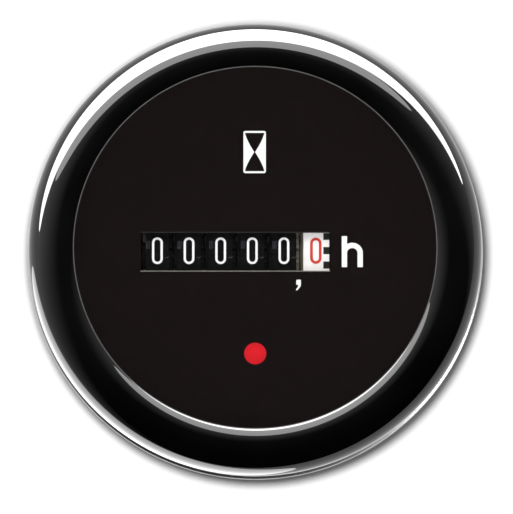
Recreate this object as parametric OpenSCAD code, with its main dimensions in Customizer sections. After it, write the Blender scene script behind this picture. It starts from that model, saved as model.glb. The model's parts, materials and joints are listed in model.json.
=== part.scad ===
// Panel hour meter of the 52 mm class. A small stepping motor turns a six-wheel counter,
// read through a flat glass, and a ring nut holds the meter in its panel.
//
// Each piece is drawn in the dial's own frame: x to the right, y up the dial, z out of the
// dial towards the reader, and z = 0 on the panel's front face. in_part_frame() then turns
// the dial to face -Y, with +Z up.

/* [Housing] */
// Diameter of the plain neck that sits in the panel hole
neck_d = 51.6; // [50:0.1:54]
// Length of the plain neck behind the panel's front face
neck_len = 2.8; // [2:0.1:2.9]
// Depth of the case behind the panel's front face
case_depth = 35; // [34:0.5:40]
// How much smaller in radius the threaded barrel is than the neck
thread_step = 0.2; // [0.1:0.05:0.4]
// Width of the run-out groove between neck and thread
relief_w = 0.9; // [0.6:0.05:1.2]
// Depth of that groove, below the thread
relief_d = 0.5; // [0.3:0.05:0.7]
// Wall of the barrel
barrel_wall = 1.9; // [1.5:0.1:2.2]
// Thickness of the rear wall
rear_wall = 2; // [1.5:0.1:3]
// Thickness of the front flange
flange_t = 2; // [1.5:0.1:2.5]
// Reach of the flange beyond the neck
flange_reach = 2.2; // [1.8:0.1:3]
// Height of the collar that carries the glass, above the flange
collar_h = 1.2; // [1:0.1:1.8]
// Wall of that collar
collar_wall = 1.6; // [1.3:0.1:1.9]
// Width of the ledge that the dial rests on
dial_ledge = 1.4; // [1:0.1:1.6]

/* [Bezel, glass and seals] */
// Reach of the bezel's lip inside its crest
lip_reach = 1.81; // [1.5:0.01:2.4]
// Wall of the bezel's skirt around the flange
skirt_wall = 1; // [0.8:0.05:1.5]
// Radius of the bezel's rounded shoulder
shoulder_r = 4; // [3.6:0.1:4.3]
// Radius of the bezel's inner crown
crown_r = 3.2; // [2.6:0.1:4]
// Height of the bezel's crest above the glass
crest_h = 1.3; // [1.1:0.05:2]
// Reach of the bezel's hook behind the flange
hook_reach = 0.5; // [0.3:0.05:0.8]
// Thickness of that hook
hook_t = 0.6; // [0.4:0.05:0.7]
// Diameter of the rim ring's bead
rim_bead_d = 0.62; // [0.5:0.02:0.66]
// How far the bead stands out past the bezel
rim_proud = 0.2; // [0.1:0.02:0.3]
// Thickness of the glass
glass_t = 2; // [1.5:0.1:3]
// Thickness of the seal under the glass
glass_seal_t = 0.6; // [0.4:0.05:1]
// Thickness of the seal between flange and panel
panel_seal_t = 1.4; // [1.4:0.05:2]
// Width of that seal
panel_seal_w = 1.1; // [0.8:0.05:1.2]

/* [Dial] */
// Height of the spacer that keeps the dial away from the glass
spacer_h = 1.1; // [0.9:0.05:1.4]
// Thickness of the dial plate
dial_t = 0.5; // [0.4:0.05:0.8]
// Width of the counter window
window_w = 24.1; // [22:0.1:24.6]
// Height of the counter window
window_h = 5.03; // [4.5:0.01:6]
// Place of the window's middle, right of the dial's middle
window_x = -2.55; // [-3:0.05:-2]
// Distance of the window's middle below the dial's middle
window_drop = 0.19; // [0:0.01:0.4]
// Width of the bevel around the window
window_bevel = 0.16; // [0.1:0.02:0.3]
// Diameter of the running indicator's hole
indicator_d = 2.85; // [2.5:0.01:3.6]
// Distance of that hole below the dial's middle
indicator_drop = 13.3; // [12.8:0.01:13.6]

/* [Counter] */
// Diameter of the number wheels
wheel_d = 14.2; // [13.8:0.1:14.6]
// Width of a number wheel's rim
rim_w = 3; // [2.8:0.05:3.1]
// Space between neighbouring rims
wheel_gap = 1.06; // [1:0.02:1.2]
// Width of the tenths wheel's rim
tenths_rim_w = 3.35; // [3.2:0.05:3.6]
// Place of the first wheel's middle, right of the dial's middle
first_wheel_x = -12.55; // [-12.7:0.05:-12.4]
// Wall of a wheel's rim
rim_wall = 1.2; // [1:0.1:1.5]
// Thickness of a wheel's web
web_t = 1; // [0.8:0.1:1.4]
// Radius of a wheel's hub
hub_r = 1.7; // [1.4:0.1:2]
// Radius of the counter shaft
shaft_r = 0.75; // [0.6:0.05:0.9]
// Space between the dial and the wheels behind it
dial_space = 0.5; // [0.4:0.05:0.8]
// Radius of a transfer pinion's hub, which passes the wheels' rims
transfer_hub_r = 1.05; // [0.9:0.01:1.2]
// Width of the ring gear and of the carry disc
ring_w = 0.42; // [0.36:0.02:0.44]
// Width of a transfer pinion's teeth
transfer_w = 0.4; // [0.36:0.02:0.42]
// Radius of the transfer pinions' shaft
transfer_shaft_r = 0.5; // [0.4:0.05:0.55]

/* [Gear train] */
// Module of the slow gears
train_module = 0.3; // [0.28:0.005:0.305]
// Module of the motor's first gear
motor_module = 0.22; // [0.2:0.005:0.225]
// Width of a gear
gear_w = 0.75; // [0.6:0.05:0.8]
// Space between neighbouring gears
lane_gap = 0.25; // [0.2:0.05:0.3]
// Radius of the gears' arbors
arbor_r = 0.5; // [0.4:0.05:0.6]
// Radius of the gears' hubs
gear_hub_r = 0.9; // [0.8:0.05:1]
// How far the drum's axis lies above the middle of its hole
drum_lift = 0.33; // [0:0.01:0.5]
// Radius of the indicator drum
drum_r = 4.8; // [4.7:0.05:5]
// Width of the indicator drum
drum_w = 4.8; // [4.2:0.1:5]
// Wall of the indicator drum
drum_wall = 0.6; // [0.5:0.05:0.9]

/* [Frame] */
// Thickness of the frame's cheeks and posts
cheek_t = 1.2; // [1:0.05:1.4]
// Half the height of the frame's left cheek
cheek_half = 8.6; // [8:0.1:9]
// Thickness of the frame's rear plate
plate_t = 1.5; // [1.2:0.1:2]
// Space between the coil and the rear plate
plate_room = 1; // [0.8:0.1:1.4]
// Radius of the posts that carry the gear plate
post_r = 1.4; // [1.2:0.05:1.5]
// Radius of the pillars that carry the frame
pillar_r = 2.7; // [2.4:0.1:2.9]
// Distance of those pillars' axes inside the barrel's bore
pillar_inset = 4.5; // [3.8:0.1:5]

/* [Motor] */
// Radius of the rotor's magnet
magnet_r = 1.2; // [1:0.05:1.4]
// Thickness of the magnet
magnet_t = 0.9; // [0.7:0.05:1]
// Radius of the rotor's shaft
rotor_shaft_r = 0.35; // [0.3:0.02:0.45]
// Width of the air gap around the magnet
air_gap = 0.35; // [0.3:0.05:0.5]
// Thickness of the stator plate
stator_t = 1.1; // [1:0.05:1.2]
// Length of the stator plate
stator_len = 11; // [10.5:0.1:11.4]
// Width of the stator plate around the rotor
pole_w = 5; // [4.4:0.1:5.2]
// Width of the stator's legs and of the coil's core
leg_w = 2.4; // [2.2:0.05:2.5]
// Thickness of the coil's core
core_t = 1; // [0.8:0.05:1.1]
// Distance of the coil's core behind the rotor
core_drop = 8; // [7.8:0.1:8.2]
// Radius of the winding
winding_r = 2.3; // [2.1:0.05:2.35]
// Wall of the bobbin
bobbin_wall = 0.3; // [0.25:0.02:0.35]
// Thickness of the bobbin's cheeks
bobbin_cheek = 0.5; // [0.4:0.05:0.6]

/* [Circuit and terminals] */
// Space between the frame's rear plate and the circuit board
board_space = 5; // [4.6:0.1:5.5]
// Thickness of the circuit board
board_t = 1.6; // [1.2:0.1:1.8]
// Space between the circuit board and the barrel
board_room = 1.3; // [1:0.1:1.6]
// Space between the capacitor and the rear wall
capacitor_room = 0.7; // [0.5:0.1:1.5]
// Width of a blade terminal
blade_w = 6.3; // [4.8:0.1:6.8]
// Thickness of a blade terminal
blade_t = 0.8; // [0.5:0.1:1]
// Length of a blade behind the case
blade_len = 9; // [8:0.1:12]
// Width of a blade's solder tail
tail_w = 2; // [1.6:0.1:2.6]
// Distance of the two upright blades from the middle
blade_x = 8; // [7:0.1:9]
// Distance of those blades below the middle
blade_drop = 3; // [2:0.1:4]
// Distance of the flat blade above the middle
blade_y = 8; // [7:0.1:9]

/* [Fixing] */
// Distance from the panel's front face to the washer
panel_gap = 3; // [3:0.1:5]
// Thickness of the washer
washer_t = 1; // [0.8:0.05:1.5]
// Width of the washer's ring
washer_w = 1.55; // [1.3:0.05:2]
// Height of the ring nut
nut_h = 6; // [5:0.1:8]
// Wall of the ring nut
nut_wall = 1.8; // [1.6:0.1:2.2]
// Number of grip grooves around the nut
grip_count = 24; // [16:1:30]
// Radius of a grip groove
grip_r = 0.7; // [0.5:0.05:0.8]

/* [Clearances] */
// Between pieces that are fixed to each other
seat_clear = 0.03; // [0.02:0.01:0.05]
// Between the bezel and what it covers
bezel_clear = 0.06; // [0.04:0.01:0.1]
// Between a shaft and the bore that it turns in
run_clear = 0.04; // [0.02:0.01:0.08]
// Between turning faces, along their axis
end_play = 0.06; // [0.04:0.01:0.1]
// Between the barrel and the ring nut's bore
nut_clear = 0.3; // [0.25:0.05:0.5]
// Around a screw or a blade in its hole
hole_clear = 0.1; // [0.06:0.01:0.15]

/* [Hidden] */
$fn = 96;

// Overlap of a cut past the face that it opens
cut = 1;

// Radii of the housing, from the neck
neck_r = neck_d / 2;
thread_r = neck_r - thread_step;
bore_r = thread_r - barrel_wall;
flange_r = neck_r + flange_reach;
seal_step = 0.4;
seal_step_r = neck_r + seal_step;
washer_bore_r = neck_r + nut_clear / 2;
washer_r = washer_bore_r + washer_w;
nut_bore_r = thread_r + nut_clear;
nut_r = nut_bore_r + nut_wall;
dial_r = bore_r + dial_ledge;
collar_r = dial_r + seat_clear + collar_wall;
bezel_r = flange_r + bezel_clear + skirt_wall;
hook_r = flange_r - hook_reach;
crest_r = bezel_r - shoulder_r;
view_r = crest_r - lip_reach;

// Levels along the case's axis, from the panel's front face
flange_back = panel_seal_t;
flange_front = flange_back + flange_t;
collar_front = flange_front + collar_h;
glass_back = collar_front + glass_seal_t;
glass_front = glass_back + glass_t;
bezel_top = glass_front + crest_h;
bezel_back = flange_back - bezel_clear - hook_t;
dial_front = collar_front - spacer_h;
dial_back = dial_front - dial_t;
case_back = -case_depth;
case_floor = case_back + rear_wall;

// Places across the counter, along x
wheel_r = wheel_d / 2;
wheel_pitch = rim_w + wheel_gap;
wheel_span = wheel_pitch / 2 - end_play / 2;
function wheel_x(k) = first_wheel_x + k * wheel_pitch;
last_wheel = 4;
cheek_room = 0.6;
tenths_rim_x = wheel_x(last_wheel) + rim_w / 2 + wheel_gap;
tenths_hub_x = wheel_x(last_wheel) + wheel_pitch / 2 + end_play / 2;
left_face = wheel_x(0) - wheel_span - end_play;
right_face = tenths_rim_x + tenths_rim_w + cheek_room;
right_back = right_face + cheek_t;
function lane(i) = right_back + lane_gap + i * (gear_w + lane_gap);
gear_plate_x = lane(3);

// Tooth counts, set by the counting ratios: pinion first, then the gear that it drives
ring_teeth = 20;
transfer_teeth = 8;
first_pair = [8, 40];
second_pair = [8, 40];
third_pair = [10, 40];
drive_pair = [12, 36];

// Tooth proportions: radial heights as parts of the module
addendum = 0.75;
dedendum = 1.2;
pressure_angle = 20;
backlash_share = 0.2;

// Positive shift of a small pinion's teeth, given back by its mate
function shift(pinion) = 0.05 * (17 - pinion);
function centre_distance(m, pair) = m * (pair[0] + pair[1]) / 2;
function tip_radius(m, teeth, x) = m * (teeth / 2 + addendum + x);

// Involute angle at radius r over base radius rb, in degrees
function involute(rb, r) =
    let (t = sqrt(max(r * r / (rb * rb) - 1, 0)))
    t * 180 / PI - atan(t);

// Half the angle that a tooth fills at radius r
function half_tooth(m, teeth, x, r) =
    let (rp = m * teeth / 2)
    let (rb = rp * cos(pressure_angle))
    let (thick = m * (PI / 2 + 2 * x * tan(pressure_angle) - backlash_share))
    thick / (2 * rp) * 180 / PI + involute(rb, rp) - involute(rb, max(r, rb));

// Radii at which a tooth's flank has a point
function flank_radii(m, teeth, x) =
    let (root = m * (teeth / 2 - dedendum + x))
    let (start = max(root, m * teeth / 2 * cos(pressure_angle)))
    let (tip = tip_radius(m, teeth, x))
    let (foot = start > root + 0.001 ? [root, start] : [root])
    concat(foot, [for (k = [1:3]) start + (tip - start) * k / 3]);

// Outline of one tooth whose middle lies at the angle a
function tooth(m, teeth, x, a) =
    let (radii = flank_radii(m, teeth, x))
    let (n = len(radii))
    [
        for (k = [0:2 * n - 1])
            let (r = radii[k < n ? k : 2 * n - 1 - k])
            let (side = k < n ? -1 : 1)
            let (angle = a + side * half_tooth(m, teeth, x, r))
            [r * cos(angle), r * sin(angle)]
    ];

// Whole gear outline, with one tooth's middle at the angle a
module gear_outline(m, teeth, x, a)
    polygon([for (i = [0:teeth - 1]) each tooth(m, teeth, x, a + i * 360 / teeth)]);

// Places of the arbors as [y, z]
counter_axis = [0, dial_back - dial_space - wheel_r];
drum_axis = [drum_lift - indicator_drop, dial_back - dial_space - drum_r];
function polar(angle, distance) = [distance * cos(angle), distance * sin(angle)];
function bearing(from, to) = atan2(to[1] - from[1], to[0] - from[0]);

// The transfer shaft lies behind and above the counter, the third arbor behind and below it
transfer_angle = -60;
hub_room = 0.25;
carry_lap = 0.25;
transfer_distance = wheel_r + hub_room + transfer_hub_r;
transfer_module = 2 * transfer_distance / (ring_teeth + transfer_teeth);
transfer_axis = counter_axis + polar(transfer_angle, transfer_distance);
third_angle = 243;
third_axis = counter_axis + polar(third_angle, centre_distance(train_module, drive_pair));

// The second arbor meshes with the first pinion and with the third gear at once
second_axis =
    let (a = centre_distance(train_module, second_pair))
    let (b = centre_distance(train_module, third_pair))
    let (d = norm(third_axis - drum_axis))
    let (along = (a * a - b * b + d * d) / (2 * d))
    let (aside = sqrt(a * a - along * along))
    drum_axis + polar(bearing(drum_axis, third_axis), along)
    + polar(bearing(drum_axis, third_axis) - 90, aside);
rotor_angle = 255.5;
rotor_axis = drum_axis + polar(rotor_angle, centre_distance(motor_module, first_pair));

// Posts between the right cheek and the gear plate, each clear of the gears beside it
post_room = 1.2;
post_axes = [
    third_axis + polar(-20, tip_radius(train_module, third_pair[1], 0) + post_r + post_room),
    second_axis + polar(238, tip_radius(train_module, second_pair[1], 0) + post_r + post_room),
    counter_axis + polar(142, tip_radius(train_module, drive_pair[1], 0) + post_r + post_room)
];
post_screw_r = 0.6;
post_screw_len = 2.6;
post_head_r = 1.1;
post_head_t = 0.6;

// Places of the motor's pieces along x
drum_x = -drum_w / 2;
drum_room = 0.4;
drum_post_x = drum_x - cheek_t - drum_room;
motor_post_x = -drum_x + drum_room;
motor_post_t = 0.9;
first_gear_room = 0.3;
first_gear_x = motor_post_x + motor_post_t + first_gear_room;
stator_room = 1;
stator_x = first_gear_x + gear_w + stator_room;
pole_bridge = 0.45;
core_x = stator_x + stator_t;
magnet_x = stator_x + (stator_t - magnet_t) / 2;
core_axis = rotor_axis - [0, core_drop];
leg_offset = stator_len / 2 - leg_w / 2;
coil_end_room = 0.15;
coil_half = stator_len / 2 - leg_w - coil_end_room;
core_mid_x = core_x + core_t / 2;
motor_screw_r = 0.55;
motor_head_r = 1;
motor_head_t = 0.7;
motor_screw_end = 1.6;

// Rear plate behind the coil, and the circuit board behind that plate
plate_front = core_axis[1] - winding_r - bobbin_wall - plate_room;
plate_back = plate_front - plate_t;
board_front = plate_back - board_space;
board_back = board_front - board_t;
board_r = bore_r - board_room;

// Reach of the frame and the gear plate inside the housing
frame_room = 0.6;
frame_set = 1;
frame_front = dial_back - frame_set;
gear_plate_set = 0.4;
gear_plate_front = dial_back - gear_plate_set;
post_half = 2;

// Pillars between frame and rear wall
pillar_angles = [48, 132, 270];
pillar_pcr = bore_r - pillar_inset;
pillar_foot_r = 1.9;
pillar_pilot_r = 1.2;
pillar_pilot_len = 7;
screw_shank_r = 1.15;
screw_head_r = 2.3;
screw_head_t = 1.5;
screw_len = 6.5;
screw_slot_w = 0.7;
screw_slot_d = 0.6;

// Blades: middle x, middle y and turn about the case's axis
blades = [[-blade_x, -blade_drop, 90], [blade_x, -blade_drop, 90], [0, blade_y, 0]];
tail_reach = 0.9;
blade_front = board_front + tail_reach;
blade_shoulder = board_back - seat_clear;
blade_tip = case_back - blade_len;
blade_hole_r = 0.8;
blade_hole_from_tip = 3;
blade_chamfer = 1.2;
collar_rim = 0.9;
mark_len = 3;
mark_w = 0.7;
mark_h = 0.4;

// Sizes and places of the pieces on the circuit board
crystal_r = 1.5;
crystal_len = 8;
crystal_y = 15.5;
chip_size = [4.9, 3.9, 1.5];
chip_x = -11.05;
chip_lift = 0.2;
chip_pin = [0.4, 1, 0.6];
chip_pin_pitch = 1.27;
capacitor_r = 2.5;
capacitor_h = board_back - case_floor - capacitor_room;
diode_size = [2.4, 4.2, 2];
diode_xs = [10.5, 15];
diode_y = 4;
resistor_size = [1.6, 3.2, 0.6];
resistor_x = -16;
resistor_y = -9.5;
resistor_pitch = 2.6;

// Turns a piece from the dial's frame into the part's frame
module in_part_frame() rotate([90, 0, 0]) children();

// Extrudes an outline drawn in y and z, from x0 to x1
module along_x(x0, x1)
    translate([x0, 0, 0]) rotate([90, 0, 90]) linear_extrude(x1 - x0) children();

// Round rod along x about the axis [y, z]
module x_rod(axis, r, x0, x1)
    translate([x0, axis[0], axis[1]]) rotate([0, 90, 0]) cylinder(h = x1 - x0, r = r);

// Gear between x0 and x1 about the axis [y, z], with a tooth at the angle a
module x_gear(axis, m, teeth, x, a, x0, x1)
    along_x(x0, x1) translate(axis) gear_outline(m, teeth, x, a);

// Box in the y and z ranges, from x0 to x1
module x_box(x0, x1, y0, y1, z0, z1)
    translate([x0, y0, z0]) cube([x1 - x0, y1 - y0, z1 - z0]);

// Ring about the case's axis
module z_ring(outer, inner, z0, z1)
    translate([0, 0, z0])
        difference() {
            cylinder(h = z1 - z0, r = outer);
            translate([0, 0, -cut]) cylinder(h = z1 - z0 + 2 * cut, r = inner);
        }

// Disc about the case's axis
module z_disc(r, z0, z1) translate([0, 0, z0]) cylinder(h = z1 - z0, r = r);

// Runs its children once at each pillar
module at_pillars()
    for (a = pillar_angles)
        rotate([0, 0, a]) translate([pillar_pcr, 0, 0]) children();

// Runs its children once at each blade, with the blade's width along x
module at_blades()
    for (b = blades)
        translate([b[0], b[1], 0]) rotate([0, 0, b[2]]) children();

// Cup with a front flange and collar, a seat for the dial and a slotted rear wall
module housing() color([0.07, 0.07, 0.075]) in_part_frame()
    difference() {
        union() {
            z_disc(thread_r, case_back, -neck_len - relief_w);
            z_disc(thread_r - relief_d, case_back, 0);
            z_disc(neck_r, -neck_len, 0);
            z_disc(seal_step_r, 0, flange_back);
            z_disc(flange_r, flange_back, flange_front);
            z_disc(collar_r, flange_front, collar_front);
            at_blades() blade_collar();
            polarity_marks();
        }
        z_disc(bore_r, case_floor, dial_back);
        z_disc(dial_r + seat_clear, dial_back, collar_front + cut);
        at_pillars() translate([0, 0, case_back - cut])
            cylinder(h = rear_wall + 2 * cut, r = screw_shank_r + hole_clear);
        at_blades() blade_slot(case_back - 2 * cut, rear_wall + 3 * cut);
    }

// Low rim moulded around a blade's slot
module blade_collar()
    translate([-blade_w / 2 - collar_rim, -blade_t / 2 - collar_rim, case_back - collar_rim])
        cube([blade_w + 2 * collar_rim, blade_t + 2 * collar_rim, collar_rim]);

// Slot that a blade passes through
module blade_slot(z, h)
    translate([-blade_w / 2 - hole_clear, -blade_t / 2 - hole_clear, z])
        cube([blade_w + 2 * hole_clear, blade_t + 2 * hole_clear, h]);

// Raised plus and minus signs beside the upright blades
module polarity_marks() {
    mark_y = blades[0][1] - blade_w / 2 - collar_rim - mark_len;
    for (side = [-1, 1])
        translate([side * blade_x - mark_len / 2, mark_y - mark_w / 2, case_back - mark_h])
            cube([mark_len, mark_w, mark_h]);
    translate([blade_x - mark_w / 2, mark_y - mark_len / 2, case_back - mark_h])
        cube([mark_w, mark_len, mark_h]);
}

// Section of the bezel in radius and height: crown, shoulder and skirt, less its pockets
module bezel_section()
    difference() {
        union() {
            quarter(crest_r, bezel_top - shoulder_r, shoulder_r, 1);
            quarter(crest_r, bezel_top - crown_r, crown_r, -1);
            translate([crest_r, bezel_back]) square([shoulder_r, bezel_top - shoulder_r - bezel_back]);
            translate([view_r, bezel_back]) square([crest_r - view_r, bezel_top - crown_r - bezel_back]);
        }
        translate([0, bezel_back - cut]) square([view_r, bezel_top]);
        translate([0, bezel_back - cut]) square([hook_r, flange_front - bezel_back + cut]);
        translate([0, flange_back - bezel_clear])
            square([flange_r + bezel_clear, flange_t + 2 * bezel_clear]);
        translate([0, flange_front]) square([collar_r + bezel_clear, glass_front - flange_front]);
    }

// Quarter disc above its centre, on the outer side (1) or the inner side (-1)
module quarter(r0, z0, r, side)
    intersection() {
        translate([r0, z0]) circle(r);
        translate([side > 0 ? r0 : r0 - r - cut, z0]) square(r + cut);
    }

module bezel() color([0.03, 0.03, 0.032]) in_part_frame() rotate_extrude() bezel_section();

// Flat ring under the bezel's skirt with a round bead along its edge
module rim_ring() color([0.75, 0.75, 0.76]) in_part_frame()
    rotate_extrude() {
        bead = rim_bead_d / 2;
        bead_z = bezel_back - seat_clear - bead;
        bead_centre = bezel_r + rim_proud - bead;
        translate([bead_centre, bead_z]) circle(bead);
        translate([hook_r, bead_z - bead / 2]) square([bead_centre - hook_r, bead]);
    }

module glass() color([0.8, 0.85, 0.88, 0.4]) in_part_frame() z_disc(collar_r, glass_back, glass_front);

module glass_seal() color([0.05, 0.05, 0.05]) in_part_frame()
    z_ring(collar_r, dial_r - collar_wall / 2, collar_front, glass_back);

module dial_spacer() color([0.06, 0.06, 0.06]) in_part_frame()
    z_ring(dial_r, bore_r, dial_front, collar_front);

// Plate with a bevelled counter window and a round indicator hole
module dial() color([0.02, 0.018, 0.016]) in_part_frame()
    difference() {
        z_disc(dial_r, dial_back, dial_front);
        intersection() {
            along_x(window_x - window_w, window_x + window_w)
                translate([-window_drop, 0]) window_taper(window_h);
            translate([window_x, -window_drop, 0]) rotate([0, 0, 90])
                along_x(-window_h, window_h) window_taper(window_w);
        }
        translate([0, -indicator_drop, dial_back - cut]) cylinder(h = dial_t + 2 * cut, d = indicator_d);
    }

// Section of the window's cut, wider at the front by the bevel
module window_taper(w) {
    bevel_z = dial_front - window_bevel;
    flare = w / 2 + window_bevel + cut;
    polygon([
        [-w / 2, dial_back - cut], [w / 2, dial_back - cut], [w / 2, bevel_z],
        [flare, dial_front + cut], [-flare, dial_front + cut], [-w / 2, bevel_z]
    ]);
}

module panel_seal() color([0.04, 0.04, 0.04]) in_part_frame()
    z_ring(seal_step_r + seat_clear + panel_seal_w, seal_step_r + seat_clear, 0, flange_back);

module nut_washer() color([0.55, 0.56, 0.57]) in_part_frame()
    z_ring(washer_r, washer_bore_r, -panel_gap - washer_t, -panel_gap);

// Ring nut with half-round grip grooves
module ring_nut() color([0.06, 0.06, 0.065]) in_part_frame()
    difference() {
        nut_front = -panel_gap - washer_t - end_play;
        z_ring(nut_r, nut_bore_r, nut_front - nut_h, nut_front);
        for (i = [0:grip_count - 1])
            rotate([0, 0, i * 360 / grip_count]) translate([nut_r, 0, nut_front - nut_h - cut])
                cylinder(h = nut_h + 2 * cut, r = grip_r, $fn = 32);
    }

// Moulded frame: rear plate, two cheeks, two posts, motor bosses and three pillars
module movement_frame() color([0.2, 0.2, 0.21]) in_part_frame()
    difference() {
        union() {
            intersection() {
                union() {
                    z_disc(bore_r, plate_back, plate_front);
                    frame_walls();
                }
                z_disc(bore_r - frame_room, plate_back, frame_front);
            }
            motor_bosses();
            at_pillars() frame_pillar();
        }
        frame_bores();
        at_pillars() translate([0, 0, case_floor - cut])
            cylinder(h = pillar_pilot_len + cut, r = pillar_pilot_r);
    }

// Cheeks and posts that stand on the rear plate
module frame_walls() {
    low = rotor_axis[0] - post_half;
    boss_low = rotor_axis[0] - stator_len / 2;
    x_box(left_face - cheek_t, left_face, -cheek_half, cheek_half, plate_back, frame_front);
    x_box(right_face, right_back, boss_low, cheek_half, plate_back, frame_front);
    x_box(
        drum_post_x, drum_post_x + cheek_t, drum_axis[0] - post_half, drum_axis[0] + post_half,
        plate_back, drum_axis[1] + post_half
    );
    x_box(
        motor_post_x, motor_post_x + motor_post_t, low, drum_axis[0] + post_half,
        plate_back, drum_axis[1] + post_half
    );
}

// Bosses on the right cheek that carry the motor
module motor_bosses()
    for (side = [-1, 1])
        x_rod(core_axis + [side * leg_offset, 0], leg_w / 2, core_x + core_t, right_face);

// Stepped pillar: the circuit board rests on its shoulder
module frame_pillar() {
    z_disc(pillar_r, board_front, plate_back + plate_t / 2);
    z_disc(pillar_foot_r, case_floor, board_front + plate_t / 2);
}

// Bores for the shafts, arbors and screws
module frame_bores() {
    x_rod(counter_axis, shaft_r + run_clear, left_face - cheek_t - cut, right_back + cut);
    x_rod(transfer_axis, transfer_shaft_r + seat_clear, left_face - cheek_t - cut, right_back + cut);
    x_rod(drum_axis, arbor_r + run_clear, drum_post_x - cut, right_back + cut);
    x_rod(rotor_axis, rotor_shaft_r + run_clear, motor_post_x - cut, right_back + cut);
    for (axis = [second_axis, third_axis])
        x_rod(axis, arbor_r + run_clear, right_face - cut, right_back + cut);
    for (side = [-1, 1])
        x_rod(
            core_axis + [side * leg_offset, 0], motor_screw_r + seat_clear,
            core_x - cut, core_x + core_t + motor_screw_end
        );
}

// Outer bearing plate of the gear train, with its own posts
module gear_plate() color([0.22, 0.22, 0.23]) in_part_frame()
    difference() {
        intersection() {
            union() {
                gear_plate_sheet();
                for (axis = post_axes)
                    x_rod(axis, post_r, right_back, gear_plate_x + cheek_t / 2);
            }
            z_disc(bore_r - frame_room, plate_back, gear_plate_front);
        }
        for (axis = [drum_axis, second_axis, third_axis])
            x_rod(axis, arbor_r + run_clear, gear_plate_x - cut, gear_plate_x + cheek_t + cut);
        for (axis = post_axes)
            x_rod(
                axis, post_screw_r + seat_clear,
                gear_plate_x + cheek_t - post_screw_len, gear_plate_x + cheek_t + cut
            );
    }

// Sheet that reaches past every arbor and post by the post's radius
module gear_plate_sheet() {
    holes = concat(post_axes, [drum_axis, second_axis, third_axis]);
    ys = [for (h = holes) h[0]];
    zs = [for (h = holes) h[1]];
    x_box(
        gear_plate_x, gear_plate_x + cheek_t,
        min(ys) - post_r, max(ys) + post_r, min(zs) - post_r, max(zs) + post_r
    );
}

// Small screws through the gear plate into its posts
module gear_plate_screws() color([0.6, 0.6, 0.62]) in_part_frame()
    for (axis = post_axes) {
        head_x = gear_plate_x + cheek_t + seat_clear;
        x_rod(axis, post_head_r, head_x, head_x + post_head_t);
        x_rod(axis, post_screw_r, head_x - post_screw_len + 2 * seat_clear, head_x + post_head_t / 2);
    }

// Steel shaft that turns with the tenths wheel and the drive gear
module counter_shaft() color([0.7, 0.7, 0.72]) in_part_frame()
    x_rod(counter_axis, shaft_r, left_face - cheek_t, lane(0) + gear_w);

module drive_gear() color([0.85, 0.83, 0.76]) in_part_frame()
    difference() {
        x_gear(
            counter_axis, train_module, drive_pair[1], -shift(drive_pair[0]),
            bearing(counter_axis, third_axis), lane(0), lane(0) + gear_w
        );
        x_rod(counter_axis, shaft_r + seat_clear, lane(0) - cut, lane(0) + gear_w + cut);
    }

// Carry disc between x0 and x1, with its two teeth past the transfer pinion in the counting direction
module carry_disc(x0, x1) {
    step = 360 / ring_teeth;
    root_r = transfer_module * (ring_teeth / 2 - dedendum);
    x_rod(counter_axis, root_r + carry_lap, x0, x1);
    for (i = [0, 1])
        along_x(x0, x1) translate(counter_axis)
            polygon(tooth(transfer_module, ring_teeth, 0, transfer_angle - (i + 1.5) * step));
}

// Rim, web, hub, ring gear on the right and carry disc on the left, about the counter's axis
module wheel_body(x0, x1, hub_x0, hub_x1, has_ring, has_carry) {
    inner_r = wheel_r - rim_wall;
    mid = (x0 + x1) / 2;
    difference() {
        x_rod(counter_axis, wheel_r, x0, x1);
        x_rod(counter_axis, inner_r, x0 - cut, mid - web_t / 2);
        x_rod(counter_axis, inner_r, mid + web_t / 2, x1 + cut);
    }
    x_rod(counter_axis, hub_r, hub_x0, hub_x1);
    if (has_ring)
        x_gear(
            counter_axis, transfer_module, ring_teeth, -shift(transfer_teeth), transfer_angle,
            mid + web_t / 4, x1 + ring_w
        );
    if (has_carry)
        carry_disc(x0 - ring_w, mid - web_t / 4);
}

// Number wheel k, counted from the left, free on the counter shaft
module number_wheel(k) color([0.05, 0.05, 0.05]) in_part_frame()
    difference() {
        wheel_body(
            wheel_x(k) - rim_w / 2, wheel_x(k) + rim_w / 2,
            wheel_x(k) - wheel_span, wheel_x(k) + wheel_span, true, k > 0
        );
        x_rod(counter_axis, shaft_r + run_clear, wheel_x(k) - wheel_pitch, wheel_x(k) + wheel_pitch);
    }

// White wheel that is pressed on the counter shaft
module tenths_wheel() color([0.92, 0.91, 0.88]) in_part_frame()
    difference() {
        wheel_body(
            tenths_rim_x, tenths_rim_x + tenths_rim_w, tenths_hub_x, right_face - end_play, false, true
        );
        x_rod(counter_axis, shaft_r + seat_clear, tenths_hub_x - cut, right_face + cut);
    }

module ten_thousands_wheel() number_wheel(0);
module thousands_wheel() number_wheel(1);
module hundreds_wheel() number_wheel(2);
module tens_wheel() number_wheel(3);
module units_wheel() number_wheel(4);

module transfer_shaft() color([0.7, 0.7, 0.72]) in_part_frame()
    x_rod(transfer_axis, transfer_shaft_r, left_face - cheek_t, right_back);

// Pinion in the plane of wheel k's ring gear, its hub filling the pitch along the shaft
module transfer_pinion(k) color([0.08, 0.08, 0.08]) in_part_frame() {
    face = wheel_x(k) + rim_w / 2;
    mid = face + wheel_gap / 2;
    difference() {
        union() {
            x_gear(
                transfer_axis, transfer_module, transfer_teeth, shift(transfer_teeth),
                transfer_angle + 180 + 180 / transfer_teeth, face + end_play, face + end_play + transfer_w
            );
            x_rod(transfer_axis, transfer_hub_r, mid - wheel_span, mid + wheel_span);
        }
        x_rod(transfer_axis, transfer_shaft_r + run_clear, mid - wheel_pitch, mid + wheel_pitch);
    }
}

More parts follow.
